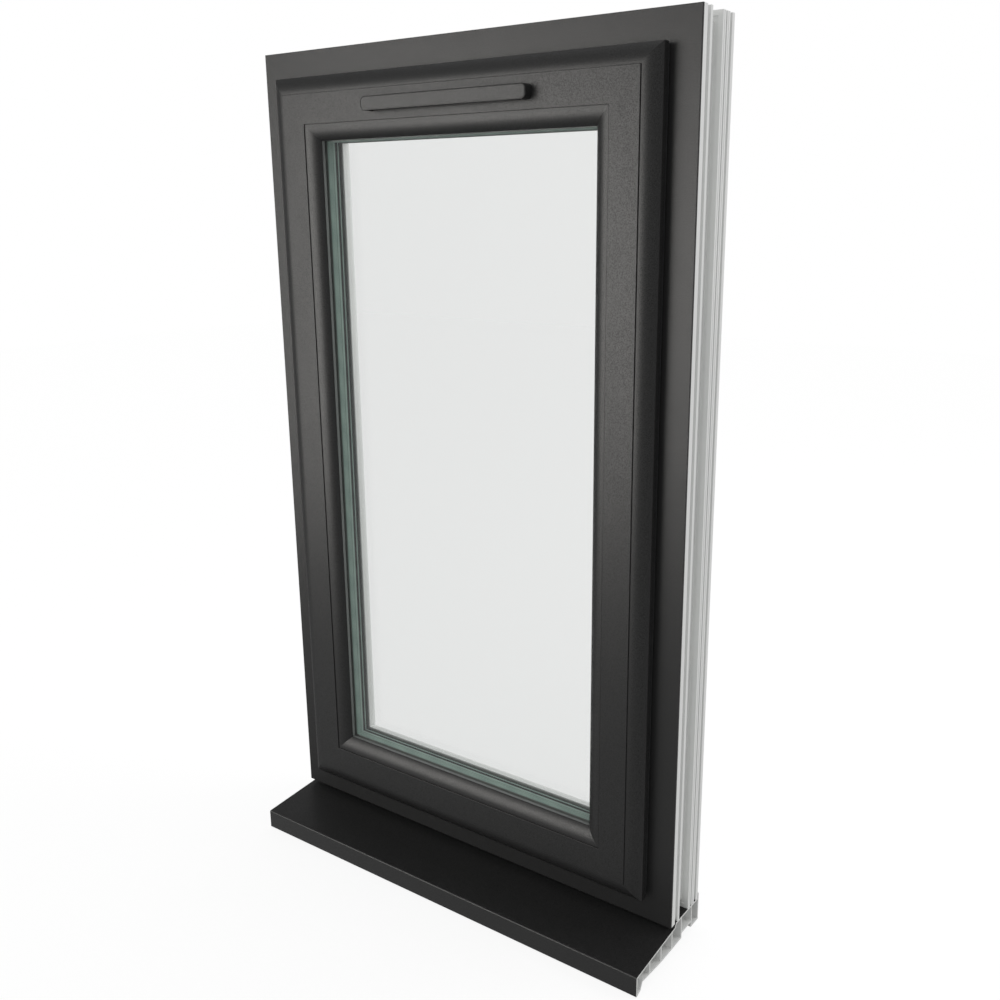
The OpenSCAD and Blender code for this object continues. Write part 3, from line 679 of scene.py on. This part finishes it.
# Sash gasket: a second seal of the same extruded rubber, fixed behind the sash's flange.
# Its lip closes on the frame's face, all round.
flange_seal = rounded_outline([
    (flange_back, 34, 0.3), (-0.4, 33.4, 0.6), (-0.4, 34.6, 0.5), (-3.6, 35.6, 0.4),
    (-3.6, 38.4, 0.4), (flange_back, 38.6, 0.3),
])
add_piece(
    "flange_seal", mitred_ring(flange_seal), [black_rubber], "sash", "gasket_rubber", "sash_gasket"
)


# Stay plates: the sash half of each stay, a strip of the same pressed stainless steel.
# Five screws fix it to the edge of the sash.
plate_face = sash_edge - strip_thickness
plate_screws = [(-190, 29), (-150, 22), (-110, 36), (-70, 22), (-30, 29)]
for end, height, facing in (
    ("bottom", frame_base + plate_face, (0, 0, -1)), ("top", frame_top - plate_face, (0, 0, 1))
):
    add_screws("plate_screws_" + end, [(x, y, height) for x, y in plate_screws], facing, "sash")


# Double-glazed unit: two panes of float glass, a grey spacer bar between them and a dark edge seal.
# It is glued up as one unit and stands on packers in the sash.
outer_near, outer_far = -8, -4
inner_near, inner_far = 16, 20

# Float glass: clear and flat, slightly green where the light runs a long way through it. Its IOR is
# set below the usual 1.5, because the photograph's panes reflect less than bare glass.
glass, tree, shader, place = start_finish("Float glass, clear")
set_sockets(tree, shader, {
    "Base Color": linear("#FFFFFF"), "Roughness": 0.0, "IOR": 1.3, "Transmission Weight": 1.0,
})
tint = add_node(
    tree, "ShaderNodeVolumeAbsorption", {"Color": linear("#C9CCCA"), "Density": 64.0}
)
tree.links.new(tint.outputs[0], tree.nodes["Material Output"].inputs["Volume"])
light_path = add_node(tree, "ShaderNodeLightPath")
passing = add_node(
    tree, "ShaderNodeMath",
    {0: light_path.outputs["Is Shadow Ray"], 1: light_path.outputs["Is Diffuse Ray"]},
    operation="MAXIMUM",
)
clear = add_node(tree, "ShaderNodeBsdfTransparent", {"Color": linear("#F2F5F3")})
either = add_node(
    tree, "ShaderNodeMixShader", {0: passing.outputs[0], 1: shader.outputs[0], 2: clear.outputs[0]}
)
tree.links.new(either.outputs[0], tree.nodes["Material Output"].inputs["Surface"])
refinish("outer_pane", glass)
refinish("inner_pane", glass)
refinish("glass_edge_seal", black_rubber)

# Spacer bar, roll-formed and lacquered: a matt grey band with a sunk middle and fine breather holes.
hole_pitch = 3.3 * MM
spacer_grey, tree, shader, place = start_finish("Aluminium spacer, lacquered grey")
rows = add_node(
    tree, "ShaderNodeTexWave", {"Vector": place, "Scale": 1 / (hole_pitch * 20), "Distortion": 0.0},
    bands_direction="DIAGONAL",
)
tone = add_node(
    tree, "ShaderNodeMix",
    {0: rows.outputs[1], 6: linear("#9AADA7"), 7: linear("#A4B7B0")},
    data_type="RGBA",
)
set_sockets(tree, shader, {
    "Base Color": tone.outputs[2], "Roughness": 0.75, "IOR": 1.5, "Specular IOR Level": 0.2,
})
spacer_foot, spacer_top = 92, 106.4
spacer_front, spacer_back = -3.4, 14.2
seam_near, seam_far = 8.6, 12.6
seam_floor = spacer_top - 3
sunk_floor = spacer_top - 1
spacer_outline = rounded_outline([
    (spacer_front, spacer_foot, 0), (spacer_back, spacer_foot, 0),
    (spacer_back, spacer_top, 0.3), (seam_far, spacer_top, 0.3),
    (seam_far, seam_floor, 0), (seam_near, seam_floor, 0), (seam_near, spacer_top, 0.4),
    (5.4, spacer_top, 0.4), (4.9, sunk_floor, 0.3), (1.2, sunk_floor, 0.3), (0.7, spacer_top, 0.4),
    (spacer_front, spacer_top, 0.4),
])
add_piece(
    "spacer_frame", mitred_ring(spacer_outline), [spacer_grey], "sash", "spacer_metal", "spacer_bar"
)

# Butyl, a soft sealant: dark lines with a dull skin, where it joins the spacer to the inner pane and
# fills its seam.
smear_size = 4 * MM
butyl, tree, shader, place = start_finish("Butyl rubber, dark grey")
smears = add_node(
    tree, "ShaderNodeTexNoise", {"Vector": place, "Scale": 1 / smear_size, "Detail": 2.0}
)
tone = add_node(
    tree, "ShaderNodeMix",
    {0: smears.outputs[0], 6: linear("#2C302F"), 7: linear("#373B3A")},
    data_type="RGBA",
)
set_sockets(tree, shader, {
    "Base Color": tone.outputs[2], "Roughness": 0.7, "IOR": 1.5, "Specular IOR Level": 0.15,
})
butyl_top = spacer_top - 0.5
for name, near, far, foot in (
    ("seam_butyl", seam_near, seam_far, seam_floor),
    ("inner_butyl", spacer_back, inner_near, spacer_foot),
):
    line = rounded_outline([
        (near, foot, 0), (far, foot, 0), (far, butyl_top, 0.2), (near, butyl_top, 0.2),
    ])
    add_piece(name, mitred_ring(line), [butyl], "sash", "gasket_rubber")


# Glazing gaskets and packers: grey rubber wedges pressed in outside and inside the unit, a tape of
# the same rubber that beds the spacer on the outer pane, and plastic packers below and beside it.

# Thermoplastic rubber, extruded grey: matt, with a fine uneven skin.
grey_rubber, tree, shader, place = start_finish("Thermoplastic rubber, extruded grey")
skin = add_node(tree, "ShaderNodeTexNoise", {"Vector": place, "Scale": 1 / skin_size, "Detail": 2.0})
tone = add_node(
    tree, "ShaderNodeMix",
    {0: skin.outputs[0], 6: linear("#767877"), 7: linear("#848685")},
    data_type="RGBA",
)
relief = add_node(
    tree, "ShaderNodeBump",
    {"Height": skin.outputs[0], "Strength": 0.3, "Distance": 0.05 * MM},
)
set_sockets(tree, shader, {
    "Base Color": tone.outputs[2], "Roughness": 0.5, "Normal": relief.outputs[0], "IOR": 1.5,
})
wedge_foot = 95.5
bead_front, bead_top = 23, 104
outer_wedge = rounded_outline([
    (lip_back, wedge_foot, 0), (outer_near, wedge_foot, 0), (outer_near, 104.6, 0.3),
    (-8.8, 105.3, 0.4), (lip_front, 105.3, 0.2), (lip_front, lip_step, 0), (lip_back, lip_step, 0),
])
inner_wedge = rounded_outline([
    (inner_far, wedge_foot, 0), (bead_front, wedge_foot, 0), (bead_front, bead_top, 0),
    (24, bead_top, 0.1), (23.4, 106.2, 0.3), (20.9, 107.2, 0.4), (inner_far, 106.2, 0.3),
])
tape_top = spacer_top - 0.5
edge_tape = rounded_outline([
    (outer_far, spacer_foot, 0), (spacer_front, spacer_foot, 0),
    (spacer_front, tape_top, 0.2), (outer_far, tape_top, 0.2),
])
add_piece("spacer_tape", mitred_ring(edge_tape), [grey_rubber], "sash", "gasket_rubber")
for name, outline, node in (
    ("outer_glass_seal", outer_wedge, "outer_glazing_gasket"),
    ("inner_glass_seal", inner_wedge, "inner_glazing_gasket"),
):
    add_piece(name, mitred_ring(outline), [grey_rubber], "sash", "gasket_rubber", node)

# Polypropylene, moulded: an even, slightly waxy blue, as packers are coloured by thickness.
flow_size = 5 * MM
packer_plastic, tree, shader, place = start_finish("Polypropylene, moulded blue")
tint = add_node(tree, "ShaderNodeTexNoise", {"Vector": place, "Scale": 1 / flow_size, "Detail": 2.0})
tone = add_node(
    tree, "ShaderNodeMix",
    {0: tint.outputs[0], 6: linear("#4A6296"), 7: linear("#516AA0")},
    data_type="RGBA",
)
set_sockets(tree, shader, {"Base Color": tone.outputs[2], "Roughness": 0.45})
refinish("glazing_packers", packer_plastic)


# Glazing beads: four extruded white PVC lengths with a round top, mitred at the corners.
# They clip into the sash from the room side and press the inner gasket on the glass.
bead_round = 17
bead_outline = rounded_outline([
    (bead_front, glaze_floor, 0), (sash_back, glaze_floor, 0.3),
    (sash_back, bead_top, bead_round), (bead_front, bead_top, 0.6),
])
beads = []
for side in ("bottom", "head", "hinge", "lock"):
    node = "bead_top" if side == "head" else "bead_" + side
    length = mitred_length(side, bead_outline, lambda y, u: False)
    beads.append(
        add_piece("white_" + node, length, [white_plastic], "sash", "white_plastic", node)
    )


# Lock: a stainless steel faceplate, screwed into the groove of the lock stile's edge.
# Behind it lie a die-cast gearbox and a sliding bar with two mushroom cams.
refinish("lock_faceplate", steel)
for node in ("lock_bar", "lock_gearbox"):
    refinish(node, zinc)
plate_x = frame_width / 2 - sash_edge
screw_heights = (-228, -110, -62, 62, 110, 228)
add_screws(
    "faceplate_screws", [(plate_x, lock_depth, frame_middle + z) for z in screw_heights],
    (1, 0, 0), "sash",
)


# Handle: a die-cast base on the lock stile, and a lever with a round neck and a square spindle.
# The spindle reaches into the lock's gearbox; both castings are powder-coated white.

# Powder coat over zinc: smooth satin white with a fine orange-peel ripple.
peel_size = 1.5 * MM
powder_coat, tree, shader, place = start_finish("Powder coat, satin white")
peel = add_node(tree, "ShaderNodeTexNoise", {"Vector": place, "Scale": 1 / peel_size, "Detail": 1.0})
tint = add_node(tree, "ShaderNodeTexNoise", {"Vector": place, "Scale": 1 / tint_size, "Detail": 2.0})
tone = add_node(
    tree, "ShaderNodeMix",
    {0: tint.outputs[0], 6: linear("#EBEBE9"), 7: linear("#F0F0EE")},
    data_type="RGBA",
)
relief = add_node(
    tree, "ShaderNodeBump",
    {"Height": peel.outputs[0], "Strength": 0.25, "Distance": 0.05 * MM},
)
set_sockets(tree, shader, {
    "Base Color": tone.outputs[2], "Roughness": 0.3, "Normal": relief.outputs[0], "IOR": 1.5,
})


def loft(rings):
    """Closed mesh through rings of points in mm, with both ends filled."""
    mesh = bmesh.new()
    made = [[mesh.verts.new(Vector(point) * MM) for point in ring] for ring in rings]
    for lower, upper in zip(made, made[1:]):
        for k in range(len(lower)):
            beside = (k + 1) % len(lower)
            mesh.faces.new((lower[k], lower[beside], upper[beside], upper[k]))
    mesh.faces.new(made[0])
    mesh.faces.new(made[-1])
    bmesh.ops.recalc_face_normals(mesh, faces=mesh.faces)
    return mesh


def rounded_bar(width, height, corner):
    """Outline of a rounded rectangle about the origin, in mm."""
    x, z = width / 2, height / 2
    return rounded_outline([(-x, -z, corner), (x, -z, corner), (x, z, corner), (-x, z, corner)])


def rim_steps(rise, edge):
    """Insets and heights of a plate's outline, from its foot over its rounded edge, in mm."""
    turns = [math.radians(degrees) for degrees in (18, 36, 54, 72, 90)]
    return [(0, 0), (0, rise - edge)] + [
        (edge * (1 - math.cos(turn)), rise - edge * (1 - math.sin(turn))) for turn in turns
    ]


base_width, base_height, base_corner = 20, 120, 9.7
base_thickness, base_edge = 12, 3.5
neck_bore = 7.05
rings = []
for inset, rise in rim_steps(base_thickness, base_edge):
    outline = rounded_bar(base_width - 2 * inset, base_height - 2 * inset, base_corner - inset)
    rings.append([(spindle_x + x, sash_back + rise, spindle_z + z) for x, z in outline])
bore = lathe([(0, -2), (neck_bore, -2), (neck_bore, 20), (0, 20)])
handle_place = Matrix.Translation(Vector((spindle_x, sash_back, spindle_z)) * MM) @ into_room
bmesh.ops.transform(bore, matrix=handle_place, verts=bore.verts)
base = cut_out(loft(rings), bore)
add_piece("handle_rose", base, [powder_coat], "sash", "white_painted_metal", "handle_base")

neck = lathe([
    (0, 0.3), (7, 0.3), (7, 11.6), (9, 12.1), (9, 12.6), (7.6, 16), (7.4, 22), (8.2, 26),
    (9, 29), (9, 36), (8.2, 37.4), (6.5, 38), (0, 38),
], 48)
bmesh.ops.transform(neck, matrix=handle_place, verts=neck.verts)
lever_reach = spindle_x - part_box("handle_lever")[0].x / MM
grip_rounding = 0.42
rings = []
for along, width, front, back in (
    (2, 14.6, 27.0, 36.5), (-3, 16.4, 26.4, 37.4), (-12, 17.4, 26.2, 38),
    (-0.3 * lever_reach, 16.6, 26.3, 38), (-0.55 * lever_reach, 15.4, 26.8, 37.8),
    (-0.8 * lever_reach, 14.6, 27.2, 37.6), (8 - lever_reach, 14.0, 27.4, 37.4),
    (3.5 - lever_reach, 12.4, 28.0, 36.8), (1 - lever_reach, 9.0, 29.4, 35.6),
    (-lever_reach, 4.4, 31.2, 33.8),
):
    thick = back - front
    section = rounded_bar(thick, width, min(width, thick) * grip_rounding)
    rings.append([
        (spindle_x + along, sash_back + (front + back) / 2 + y, spindle_z + z) for y, z in section
    ])
lever = loft(rings)
spindle_half = 3.5
spindle_start, spindle_end = 16.5, sash_back + 11
spindle = box_mesh(
    (spindle_x - spindle_half, spindle_start, spindle_z - spindle_half),
    (spindle_x + spindle_half, spindle_end, spindle_z + spindle_half),
)
for part in (lever, spindle):
    join_mesh(neck, part)
add_piece("handle_grip", neck, [powder_coat], "handle", "white_painted_metal", "handle_lever")


# Trickle vent: a foiled plastic canopy, hollow below, keeps the rain off a slot through the top rail;
# a fine groove runs round its rim. Inside, a white plastic shutter slides over a slotted grille, which
# two screws hold.
canopy_low, canopy_high = (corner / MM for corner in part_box("vent_canopy"))
canopy_width = canopy_high.x - canopy_low.x
canopy_height = canopy_high.z - canopy_low.z
canopy_middle = (canopy_low + canopy_high) / 2
canopy_rise = canopy_high.y - canopy_low.y
canopy_edge, canopy_corner = 0.9, 6
groove_width, groove_slope = 0.4, 0.1
groove_floor = canopy_rise - 0.4
groove_start = canopy_edge + groove_slope
groove_end = groove_start + groove_width
rings = []
for inset, rise in rim_steps(canopy_rise, canopy_edge) + [
    (groove_start, groove_floor), (groove_end, groove_floor), (groove_end + groove_slope, canopy_rise),
]:
    outline = rounded_bar(canopy_width - 2 * inset, canopy_height - 2 * inset, canopy_corner - inset)
    rings.append([
        (canopy_middle.x + x, canopy_high.y - rise, canopy_middle.z + z) for x, z in outline
    ])
end_wall, front_wall, top_wall = 9, 3, 3
beyond = 5
hollow = box_mesh(
    (canopy_low.x + end_wall, canopy_low.y + front_wall, canopy_low.z - beyond),
    (canopy_high.x - end_wall, canopy_high.y + beyond, canopy_high.z - top_wall),
)
canopy = cut_out(loft(rings), hollow)
add_piece("vent_hood", canopy, [foil], "sash", "foiled_profile", "vent_canopy")
refinish("vent_grille", white_plastic)
refinish("vent_shutter", white_plastic)
vent_low, vent_high = (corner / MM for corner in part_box("vent_grille"))
vent_middle = (vent_low.z + vent_high.z) / 2
screw_inset = 4
vent_screws = [
    (x, vent_high.y, vent_middle) for x in (vent_low.x + screw_inset, vent_high.x - screw_inset)
]
add_screws("vent_screws", vent_screws, (0, 1, 0), "sash")


# Studio: a pale floor under the cill, a white surround, three soft lamps and a grey flag.
# The floor is matt paper; it glows a little, so that it fades into the surround. All in metres.
floor_gap = 0.0005
floor_glow = 0.86
floor_level = cad_box[0][2] - floor_gap
floor_mesh = bpy.data.meshes.new("studio_floor")
reach = 6
floor_mesh.from_pydata(
    [(-reach, -reach, floor_level), (reach, -reach, floor_level),
     (reach, reach, floor_level), (-reach, reach, floor_level)],
    [], [(0, 1, 2, 3)],
)
floor = bpy.data.objects.new("studio_floor", floor_mesh)
bpy.context.scene.collection.objects.link(floor)


def seen_directly(tree):
    """Output that is 1 for rays from the camera, from reflections and through glass, and else 0."""
    rays = add_node(tree, "ShaderNodeLightPath").outputs
    seen = rays["Is Camera Ray"]
    for kind in ("Is Glossy Ray", "Is Transmission Ray"):
        either = add_node(tree, "ShaderNodeMath", {0: seen, 1: rays[kind]}, operation="MAXIMUM")
        seen = either.outputs[0]
    return seen


pale_floor, tree, shader, place = start_finish("Studio floor, matt white")
seen = seen_directly(tree)
lift = add_node(tree, "ShaderNodeMath", {0: seen, 1: floor_glow}, operation="MULTIPLY")
tone = add_node(
    tree, "ShaderNodeMix",
    {0: seen, 6: linear("#C4C4C4"), 7: linear("#767676")},
    data_type="RGBA",
)
set_sockets(tree, shader, {
    "Base Color": tone.outputs[2], "Roughness": 1.0, "Specular IOR Level": 0.0,
    "Emission Color": linear("#FFFFFF"), "Emission Strength": lift.outputs[0],
})
floor_mesh.materials.append(pale_floor)

# The surround is plain white to the eye, and a little dimmer as a light.
ambient = 0.75
world = bpy.data.worlds.new("White studio surround")
bpy.context.scene.world = world
world.use_nodes = True
tree = world.node_tree
level = add_node(
    tree, "ShaderNodeMapRange", {"Value": seen_directly(tree), "To Min": ambient, "To Max": 1.0}
)
set_sockets(tree, tree.nodes["Background"], {
    "Color": linear("#FFFFFF"), "Strength": level.outputs[0],
})


def add_softbox(name, at, towards, width, height, brightness):
    """Rectangular lamp whose face has that radiance, turned towards a point; metres."""
    lamp = bpy.data.lights.new(name, "AREA")
    lamp.shape = "RECTANGLE"
    lamp.size = width
    lamp.size_y = height
    lamp.energy = brightness * math.pi * width * height
    holder = bpy.data.objects.new(name, lamp)
    holder.location = at
    holder.rotation_euler = (Vector(towards) - Vector(at)).to_track_quat("-Z", "Y").to_euler()
    bpy.context.scene.collection.objects.link(holder)
    return holder


# The large softbox stands at the left in front; it only shows as a sheen and adds no level.
# It is flagged off the glass, as the photograph's panes show no lamp.
sheen = add_softbox(
    "front_left_softbox", at=(-0.637, -1.214, 0.715), towards=(0.158, -0.039, 0.715),
    width=1.27, height=1.17, brightness=11.8,
)
sheen.data.color = (1.0, 0.98, 0.945)
sheen.visible_diffuse = False
flagged = bpy.data.collections.new("flagged_off")
for pane in ("outer_pane", "inner_pane"):
    flagged.objects.link(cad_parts[pane])
sheen.light_linking.receiver_collection = flagged
for member in flagged.collection_objects:
    member.light_linking.link_state = "EXCLUDE"

# A second soft lamp, high at the right behind, lifts the white edges towards the top.
rear = add_softbox(
    "rear_right_softbox", at=(1.6, 1.2, 1.9), towards=(0.25, 0.05, 0.6),
    width=1.2, height=1.2, brightness=2.5,
)
rear.visible_glossy = False

# A third one on the room side is masked down to the beads, a pale line through the glass.
glow = add_softbox(
    "bead_softbox", at=(0.9, 0.9, 1.3), towards=(-0.1, 0.05, 0.45),
    width=1.0, height=1.0, brightness=3.6,
)
glow.visible_glossy = False
masked = bpy.data.collections.new("masked_to_beads")
for bead in beads:
    masked.objects.link(bead)
glow.light_linking.receiver_collection = masked

# A grey flag at the left, with a sheet on the floor, keeps the mouldings that face it from turning
# pale; only reflections see it.
flag_x, flag_height = -1.6, 2.6
sheet_x, sheet_level = -0.31, floor_level + 0.001
flag_mesh = bpy.data.meshes.new("left_flag")
flag_mesh.from_pydata(
    [(flag_x, -0.6, 0), (flag_x, 1.0, 0), (flag_x, 1.0, flag_height), (flag_x, -0.6, flag_height),
     (sheet_x, -0.05, sheet_level), (sheet_x, 0.25, sheet_level)],
    [], [(0, 1, 2, 3), (4, 0, 1, 5)],
)
flag = bpy.data.objects.new("left_flag", flag_mesh)
bpy.context.scene.collection.objects.link(flag)
flag_cloth, tree, shader, place = start_finish("Flag cloth, grey")
set_sockets(tree, shader, {
    "Base Color": linear("#B0B0B0"), "Roughness": 1.0, "Specular IOR Level": 0.0,
})
flag_mesh.materials.append(flag_cloth)
flag.visible_camera = False
flag.visible_diffuse = False
flag.visible_transmission = False
flag.visible_shadow = False


# Camera: placed, turned and shifted to the photograph's view of the window.
# The colours are shown as they are, in the Standard view.
camera_data = bpy.data.cameras.new("photo_camera")
camera_data.sensor_width = 36
camera_data.lens = 37.634
camera_data.shift_x = -0.0465
camera_data.shift_y = -0.0097
camera = bpy.data.objects.new("photo_camera", camera_data)
camera.location = (0.7751, -0.95084, 0.83977)
camera.rotation_euler = (math.radians(75.230), 0, math.radians(34.423))
bpy.context.scene.collection.objects.link(camera)
bpy.context.scene.camera = camera
bpy.context.scene.view_settings.view_transform = "Standard"
